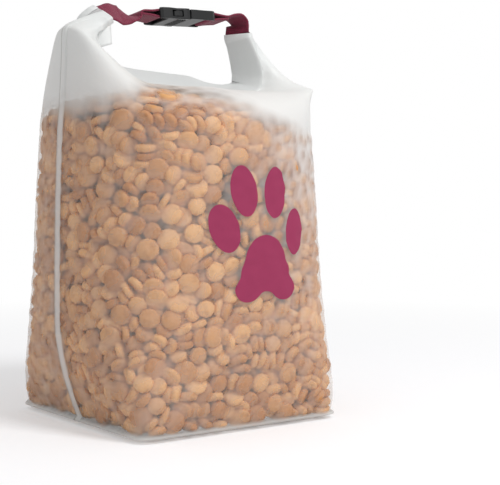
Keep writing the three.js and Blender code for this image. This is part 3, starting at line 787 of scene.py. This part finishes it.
print_field = ellipse(*TOES[0])
for toe in TOES[1:]:
    print_field = add(tree, "ShaderNodeMath", {
        0: print_field, 1: ellipse(*toe)}, operation="MINIMUM").outputs[0]
pad_field = ellipse(*PAD[0])
for part in PAD[1:]:
    pad_field = add(tree, "ShaderNodeMath", {
        0: pad_field, 1: ellipse(*part), 2: PAD_BLEND}, operation="SMOOTH_MIN").outputs[0]
print_field = add(tree, "ShaderNodeMath", {0: print_field, 1: pad_field}, operation="MINIMUM").outputs[0]
inked = add(tree, "ShaderNodeMapRange", {
    "Value": print_field, "From Min": 0.985, "From Max": 1.015, "To Min": 1, "To Max": 0}).outputs["Result"]
ink = add(tree, "ShaderNodeBsdfPrincipled", {
    "Base Color": linear(PRINT), "Roughness": 0.6, "Specular IOR Level": 0.15}).outputs[0]
printed = add(tree, "ShaderNodeMixShader", {"Fac": inked, 1: sheet, 2: ink}).outputs[0]
add(tree, "ShaderNodeOutputMaterial", {"Surface": printed})

# The sheet's inner side only closes it: it is almost clear, so that the film's haze counts once.
inner_face, tree = new_material("film_inner_face")
clear = add(tree, "ShaderNodeBsdfTransparent", {"Color": linear(0xFFFFFF)}).outputs[0]
satin = add(tree, "ShaderNodeBsdfPrincipled", {"Base Color": linear(0xE9EAE8), "Roughness": 0.5}).outputs[0]
thin = add(tree, "ShaderNodeMixShader", {"Fac": 0.04, 1: clear, 2: satin}).outputs[0]
add(tree, "ShaderNodeOutputMaterial", {"Surface": thin})

bag_film = to_piece(bm, "bag_film_sheet", "film", frosted_film, inner_face)
SHEET_WALL = 0.0004
wall = bag_film.modifiers.new("wall", "SOLIDIFY")
wall.thickness = SHEET_WALL
wall.offset = -1
wall.material_offset = 1
wall.material_offset_rim = 0
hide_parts("bag_film")


# Rolled mouth
# The bag's upper end, both sheets laid together and wound flat round a stiff strip. Its layers
# show as a flat spiral at both ends.

LAYER, LAYER_GAP, TURNS = 0.5, 0.3, 2
CORE_WIDE, CORE_THICK = 20.8, 2.1


def winding(angle):
    """Across and up on the flat spiral, in the middle of its layer, after an angle."""
    radius = CORE_THICK / 2 + LAYER / 2 + (LAYER + LAYER_GAP) * angle / (2 * np.pi)
    c, d = np.cos(angle), np.sin(angle)
    across = (CORE_WIDE - CORE_THICK) / 2 * np.clip(SIDE_FLAT * c, -1, 1) + radius * c
    return np.stack([across, radius * np.sign(d) * np.abs(d) ** EDGE_SQUARE], axis=1)


def swept(section, centre, wide, up):
    """A solid with one section all along its frames, closed by a face at each end."""
    ring = np.vstack([section, section[:1]])
    round_length, length = lengths(ring), lengths(centre)
    bm = bmesh.new()
    bm.loops.layers.uv.new("sheet")
    places = centre[:, None] + wide[:, None] * ring[None, :, :1] + up[:, None] * ring[None, :, 1:]
    sheet_grid(bm, places, round_length, length, {})
    bmesh.ops.remove_doubles(bm, verts=bm.verts, dist=0.001)
    bmesh.ops.holes_fill(bm, edges=[e for e in bm.edges if e.is_boundary], sides=0)
    bmesh.ops.recalc_face_normals(bm, faces=bm.faces)
    return bm


middle = winding(np.linspace(np.pi / 2, np.pi / 2 + TURNS * 2 * np.pi, 72))
beside = unit(np.gradient(middle, axis=0))[:, ::-1] * [-1, 1] * LAYER / 2
centre, _, wide, up, half_wide = roll_frames(np.linspace(-1, 1, 90))
layers = np.vstack([middle - beside, (middle + beside)[::-1]])
roll = swept(layers, centre, wide * (half_wide / ROLL_WIDE)[:, None], up)

# Frosted film in layers: the same milky sheet, several times over, so that it looks denser and paler.
rolled_film, tree = new_material("frosted_film_in_layers")
face = add(tree, "ShaderNodeBsdfPrincipled", {"Base Color": linear(0xF6F7F7), "Roughness": 0.45}).outputs[0]
glow = add(tree, "ShaderNodeBsdfTranslucent", {"Color": linear(0xF4F5F5)}).outputs[0]
clear = add(tree, "ShaderNodeBsdfTransparent", {"Color": linear(0xFFFFFF)}).outputs[0]
milk = add(tree, "ShaderNodeMixShader", {"Fac": 0.5, 1: face, 2: glow}).outputs[0]
layered = add(tree, "ShaderNodeMixShader", {"Fac": 0.6, 1: clear, 2: milk}).outputs[0]
add(tree, "ShaderNodeOutputMaterial", {"Surface": layered})
rolled_mouth = to_piece(roll, "rolled_mouth_layers", "film", rolled_film)
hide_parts("rolled_mouth")


# Straps
# Woven polyester webbing, 20 mm wide, in wine red. Each strap is rolled into one end of the mouth
# and turns round its buckle's bar, where it is sewn back on itself.

WEB_WIDE, WEB_THICK = 20, 1.4
BAR_TURN = 2.3
SOCKET_BAR_X, INSERT_BAR_X = -11.3, 31.8
BUCKLE_X, BUCKLE_Z, BUCKLE_TILT = -7, 278.5, -8
LEAVE = 3


def bar_turn(bar_x, heading):
    """The webbing's route over a buckle's bar, around it and back under itself, as places and tilts."""
    laid = (WEB_THICK + LAYER_GAP) / 2
    half_turn = [math.pi * i / 6 for i in range(7)]
    around = [(BAR_TURN * math.sin(angle), BAR_TURN * math.cos(angle)) for angle in half_turn]
    route = [(-14, laid), (-6, laid + 0.7), *around, (-6, -laid - 0.7), (-14, -laid)]
    tilt = math.radians(BUCKLE_TILT)
    return [
        (BUCKLE_X + bar_x + heading * x, -lift * math.sin(tilt), BUCKLE_Z + lift * math.cos(tilt), BUCKLE_TILT)
        for x, lift in route]


def webbing(tucked, route):
    """The strap's frames: tucked into the roll, then along a route of places and tilts of its flat side."""
    centre, wide, up = tucked
    places = np.vstack([centre[-1:], [point[:3] for point in route]])
    tilts = np.radians([point[3] for point in route])
    sides = np.vstack([wide[-1:], np.stack([np.zeros(len(route)), np.cos(tilts), np.sin(tilts)], axis=1)])
    per_span = 8
    fine = smooth_curve(places, per_span)
    ahead = unit(np.gradient(fine, axis=0))
    t = np.linspace(0, len(route), len(fine))
    flat = np.stack([np.interp(t, np.arange(len(sides)), column) for column in sides.T], axis=1)
    flat = unit(flat - (flat * ahead).sum(axis=1)[:, None] * ahead)
    above = np.cross(ahead, flat)
    return np.vstack([centre[:-1], fine]), np.vstack([wide[:-1], flat]), np.vstack([up[:-1], above])


def tucked_frames(s, heading, flip):
    """The webbing's frames inside the roll and just out of its end."""
    centre, ahead, wide, up, _ = roll_frames(s)
    centre = np.vstack([centre, centre[-1] + heading * LEAVE * ahead[-1]])
    return centre, np.vstack([wide, wide[-1:]]), np.vstack([up, up[-1:]]) * flip


# The webbing's section, with a woven edge that tapers to nothing.
EDGE_TAPER, SELVEDGE = 0.25, 1.6
half_wide, half_thick = WEB_WIDE / 2, WEB_THICK / 2 * 0.9
lower_side = [
    -half_wide + EDGE_TAPER, -half_wide + SELVEDGE, -half_wide / 3,
    half_wide / 3, half_wide - SELVEDGE, half_wide - EDGE_TAPER]
web_section = np.array([
    (-half_wide, 0), *[(x, -half_thick) for x in lower_side],
    (half_wide, 0), *[(x, half_thick) for x in lower_side[::-1]]])

# Polyester webbing: a close plain weave in dyed yarn, with a soft sheen on the yarns' crowns.
WINE = 0x8A1A40
YARN_WIDE, YARN_LONG = 1.1, 2.2
wine_webbing, tree = new_material("woven_wine_webbing")
strap_uv = add(tree, "ShaderNodeUVMap", uv_map="sheet").outputs[0]
weave = add(tree, "ShaderNodeTexBrick", {
    "Vector": strap_uv, "Scale": 1, "Brick Width": YARN_LONG / 1000, "Row Height": YARN_WIDE / 1000,
    "Mortar Size": 0.0002, "Mortar Smooth": 0.8, "Color1": linear(WINE), "Color2": linear(0x7C1638),
    "Mortar": linear(0x560E26)})
weave_bump = add(tree, "ShaderNodeBump", {
    "Height": weave.outputs["Fac"], "Strength": 0.6, "Distance": 0.0003}, invert=True)
yarn = add(tree, "ShaderNodeBsdfPrincipled", {
    "Base Color": weave.outputs["Color"], "Roughness": 0.7, "Sheen Weight": 0.15, "Sheen Roughness": 0.4,
    "Normal": weave_bump.outputs[0]})
add(tree, "ShaderNodeOutputMaterial", {"Surface": yarn.outputs[0]})

# Each strap is tucked into this share of half the roll. The routes are places and tilts of the flat side.
WEB_TUCK, TUCK_STEPS = 0.154, 8
left_free = [(-51, -0.5, 279.4, 40), (-45, -0.3, 277.6, 46), (-39.5, 0, 277, 30), (-34, 0, 277, 5)]
right_free = [(55.5, 0, 276.5, -8), (51, 0, 281, -8), (45, 0, 281, -8)]
left_tucked = tucked_frames(np.linspace(-1 + WEB_TUCK, -1, TUCK_STEPS), -1, -1)
right_tucked = tucked_frames(np.linspace(1 - WEB_TUCK, 1, TUCK_STEPS), 1, 1)
left_frames = webbing(left_tucked, left_free + bar_turn(SOCKET_BAR_X, 1))
right_frames = webbing(right_tucked, right_free + bar_turn(INSERT_BAR_X, -1))
strap_left = to_piece(swept(web_section, *left_frames), "webbing_left", "webbing", wine_webbing)
strap_right = to_piece(swept(web_section, *right_frames), "webbing_right", "webbing", wine_webbing)
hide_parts("strap_left")
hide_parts("strap_right")


# Strip
# A stiff plastic strip that the mouth is wound round. Only its ends are near the light.

STRIP_WIDE, STRIP_THICK = 20, 1.8
STRIP_END = 0.83

# Extruded plastic: a plain satin grey with an even surface.
strip_plastic, tree = new_material("grey_extruded_strip")
face = add(tree, "ShaderNodeBsdfPrincipled", {"Base Color": linear(0xC9CED4), "Roughness": 0.5})
add(tree, "ShaderNodeOutputMaterial", {"Surface": face.outputs[0]})
angles = np.linspace(0, 2 * np.pi, 24, endpoint=False)
strip_section = np.stack([
    (STRIP_WIDE - STRIP_THICK) / 2 * np.sign(np.cos(angles)) + STRIP_THICK / 2 * np.cos(angles),
    STRIP_THICK / 2 * np.sin(angles)], axis=1)
centre, _, wide, up, _ = roll_frames(np.linspace(-STRIP_END, STRIP_END, 60))
strip = to_piece(swept(strip_section, centre, wide, up), "strip_in_roll", "strip", strip_plastic)
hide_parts("mouth_strip")


# Buckle
# A side-release buckle, moulded in black acetal: a flat sleeve and an insert with two springy arms.

# Moulded acetal: a smooth, almost black plastic with a soft shine and a very fine grain.
black_acetal, tree = new_material("moulded_black_acetal")
place = add(tree, "ShaderNodeTexCoord").outputs["Object"]
grain = add(tree, "ShaderNodeTexNoise", {"Vector": place, "Scale": 2500, "Detail": 2}).outputs["Fac"]
grain_bump = add(tree, "ShaderNodeBump", {"Height": grain, "Strength": 0.25, "Distance": 0.0001}).outputs[0]
face = add(tree, "ShaderNodeBsdfPrincipled", {
    "Base Color": linear(0x0B0C0E), "Roughness": 0.36, "Specular IOR Level": 0.4, "Normal": grain_bump})
add(tree, "ShaderNodeOutputMaterial", {"Surface": face.outputs[0]})
for name in ("buckle_socket", "buckle_insert"):
    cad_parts[name].material_slots[0].material = black_acetal
